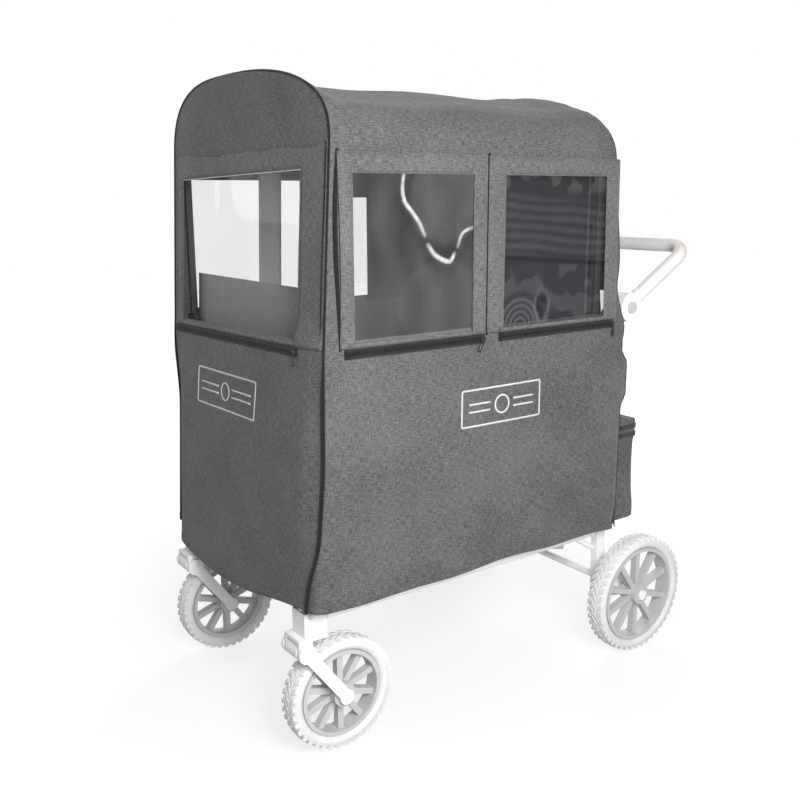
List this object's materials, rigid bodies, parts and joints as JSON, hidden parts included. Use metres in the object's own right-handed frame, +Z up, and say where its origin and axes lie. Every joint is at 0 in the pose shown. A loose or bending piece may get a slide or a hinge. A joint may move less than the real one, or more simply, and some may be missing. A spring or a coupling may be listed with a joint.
{
  "type": "stroller wagon with weather cover",
  "caption": "Folding stroller wagon under a full fabric weather cover, with zipped clear windows, swivel front wheels and a push-pull handle.",
  "frame": {"origin": "middle of the footprint, on the ground", "axes": "+Z up, +X towards the handle end, -X towards the swivel wheels, -Y the near side"},
  "size_m": [1.1934, 0.787, 1.416],
  "materials": {
    "frame_metal": "satin powder coat",
    "frame_plastic": "moulded, fine texture",
    "button_plastic": "smooth",
    "inner_fabric": "woven polyester",
    "floor_board": "fabric-covered board",
    "seat_fabric": "padded woven polyester",
    "webbing": "ribbed webbing",
    "black_plastic": "moulded",
    "canopy_metal": "satin",
    "cover_fabric": "heathered coated polyester",
    "flap_fabric": "heathered coated polyester",
    "clear_film": "clear flexible film",
    "zip_tape": "coated zip tape",
    "zip_metal": "black enamel",
    "badge_print": "rubber print",
    "fastener_steel": "zinc plated",
    "grip_leather": "stitched wrap",
    "tyre_rubber": "moulded tread",
    "rim_plastic": "moulded"
  },
  "bodies": {
    "chassis": {"lower_frame": "frame_metal", "upper_frame": "frame_metal", "legs": "frame_metal", "side_fold_bars": "frame_metal", "rear_axle": "frame_metal", "floor_panel": "floor_board", "tub_walls": "inner_fabric", "seat_cushions": "seat_fabric", "seat_backs": "seat_fabric", "harness_straps": "webbing", "harness_buckles": "black_plastic", "canopy_frame": "canopy_metal", "pole_clamps": "black_plastic", "canopy_curtains": "inner_fabric", "cover_side_skirts": "cover_fabric", "cover_end_skirts": "cover_fabric", "side_window_surrounds": "cover_fabric", "end_window_surrounds": "cover_fabric", "cover_roof": "cover_fabric", "zip_tapes": "zip_tape", "emblems": "badge_print", "storage_pouch": "cover_fabric", "pouch_straps": "webbing", "handle_brackets": "frame_metal", "caster_housings": "frame_plastic", "frame_bolts": "fastener_steel", "rear_window_pane": "clear_film"},
    "handle": {"handle_tube": "frame_metal", "handle_grip": "grip_leather", "handle_hubs": "frame_plastic"},
    "button_near": {"hub_button_near": "button_plastic"},
    "button_far": {"hub_button_far": "button_plastic"},
    "brake": {"brake_pedal": "frame_plastic"},
    "swivel_near": {"caster_swivel_near": "frame_plastic"},
    "swivel_far": {"caster_swivel_far": "frame_plastic"},
    "arm_near": {"caster_arm_near": "frame_plastic"},
    "arm_far": {"caster_arm_far": "frame_plastic"},
    "front_wheel_near": {"front_tyre_near": "tyre_rubber", "front_rim_near": "rim_plastic"},
    "front_wheel_far": {"front_tyre_far": "tyre_rubber", "front_rim_far": "rim_plastic"},
    "rear_wheel_near": {"rear_tyre_near": "tyre_rubber", "rear_rim_near": "rim_plastic"},
    "rear_wheel_far": {"rear_tyre_far": "tyre_rubber", "rear_rim_far": "rim_plastic"},
    "window_near_front": {"flap_near_front": "flap_fabric", "pane_near_front": "clear_film"},
    "slider_near_front": {"zip_slider_near_front": "zip_metal"},
    "window_near_rear": {"flap_near_rear": "flap_fabric", "pane_near_rear": "clear_film"},
    "slider_near_rear": {"zip_slider_near_rear": "zip_metal"},
    "window_far_front": {"flap_far_front": "flap_fabric", "pane_far_front": "clear_film"},
    "slider_far_front": {"zip_slider_far_front": "zip_metal"},
    "window_far_rear": {"flap_far_rear": "flap_fabric", "pane_far_rear": "clear_film"},
    "slider_far_rear": {"zip_slider_far_rear": "zip_metal"},
    "window_front": {"flap_front": "flap_fabric", "pane_front": "clear_film"},
    "slider_front": {"zip_slider_front": "zip_metal"}
  },
  "joints": [
    {"name": "caster_turn_near", "type": "hinge", "parent": "chassis", "child": "swivel_near", "pos_m": [-0.53567, -0.283, 0.3], "axis": [0, 0, 1], "continuous": true},
    {"name": "suspension_near", "type": "hinge", "parent": "swivel_near", "child": "arm_near", "pos_m": [-0.56267, -0.283, 0.254], "axis": [0, -1, 0], "range_deg": [0, 8], "stiffness_Nm_per_rad": 60, "springref_deg": -17.19},
    {"name": "front_wheel_spin_near", "type": "hinge", "parent": "arm_near", "child": "front_wheel_near", "pos_m": [-0.46917, -0.283, 0.1275], "axis": [0, 1, 0], "continuous": true},
    {"name": "rear_wheel_spin_near", "type": "hinge", "parent": "chassis", "child": "rear_wheel_near", "pos_m": [0.39633, -0.363, 0.154], "axis": [0, 1, 0], "continuous": true},
    {"name": "caster_turn_far", "type": "hinge", "parent": "chassis", "child": "swivel_far", "pos_m": [-0.53567, 0.283, 0.3], "axis": [0, 0, 1], "continuous": true},
    {"name": "suspension_far", "type": "hinge", "parent": "swivel_far", "child": "arm_far", "pos_m": [-0.56267, 0.283, 0.254], "axis": [0, -1, 0], "range_deg": [0, 8], "stiffness_Nm_per_rad": 60, "springref_deg": -17.19},
    {"name": "front_wheel_spin_far", "type": "hinge", "parent": "arm_far", "child": "front_wheel_far", "pos_m": [-0.46917, 0.283, 0.1275], "axis": [0, 1, 0], "continuous": true},
    {"name": "rear_wheel_spin_far", "type": "hinge", "parent": "chassis", "child": "rear_wheel_far", "pos_m": [0.39633, 0.363, 0.154], "axis": [0, 1, 0], "continuous": true},
    {"name": "handle_swing", "type": "hinge", "parent": "chassis", "child": "handle", "pos_m": [0.34933, 0, 0.905], "axis": [0, 1, 0], "range_deg": [-45, 85]},
    {"name": "button_press_near", "type": "slide", "parent": "handle", "child": "button_near", "axis": [0, 1, 0], "range_m": [0, 0.005], "stiffness_N_per_m": 400, "springref_m": -0.004},
    {"name": "button_press_far", "type": "slide", "parent": "handle", "child": "button_far", "axis": [0, -1, 0], "range_m": [0, 0.005], "stiffness_N_per_m": 400, "springref_m": -0.004},
    {"name": "brake_press", "type": "hinge", "parent": "chassis", "child": "brake", "pos_m": [0.31933, 0, 0.198], "axis": [0, 1, 0], "range_deg": [0, 16]},
    {"name": "window_lift_near_front", "type": "hinge", "parent": "chassis", "child": "window_near_front", "pos_m": [0, -0.353, 1.252], "axis": [-1, 0, 0], "range_deg": [0, 95]},
    {"name": "window_lift_near_rear", "type": "hinge", "parent": "chassis", "child": "window_near_rear", "pos_m": [0, -0.353, 1.252], "axis": [-1, 0, 0], "range_deg": [0, 95]},
    {"name": "window_lift_far_front", "type": "hinge", "parent": "chassis", "child": "window_far_front", "pos_m": [0, 0.353, 1.252], "axis": [1, 0, 0], "range_deg": [0, 95]},
    {"name": "window_lift_far_rear", "type": "hinge", "parent": "chassis", "child": "window_far_rear", "pos_m": [0, 0.353, 1.252], "axis": [1, 0, 0], "range_deg": [0, 95]},
    {"name": "window_lift_front", "type": "hinge", "parent": "chassis", "child": "window_front", "pos_m": [-0.51363, 0, 1.264], "axis": [0, 1, 0], "range_deg": [0, 95]},
    {"name": "zip_slide_near_front", "type": "slide", "parent": "chassis", "child": "slider_near_front", "axis": [-1, 0, 0], "range_m": [0, 0.338]},
    {"name": "zip_slide_near_rear", "type": "slide", "parent": "chassis", "child": "slider_near_rear", "axis": [-1, 0, 0], "range_m": [0, 0.347]},
    {"name": "zip_slide_far_front", "type": "slide", "parent": "chassis", "child": "slider_far_front", "axis": [-1, 0, 0], "range_m": [0, 0.338]},
    {"name": "zip_slide_far_rear", "type": "slide", "parent": "chassis", "child": "slider_far_rear", "axis": [-1, 0, 0], "range_m": [0, 0.347]},
    {"name": "zip_slide_front", "type": "slide", "parent": "chassis", "child": "slider_front", "axis": [0, 1, 0], "range_m": [0, 0.59]}
  ]
}
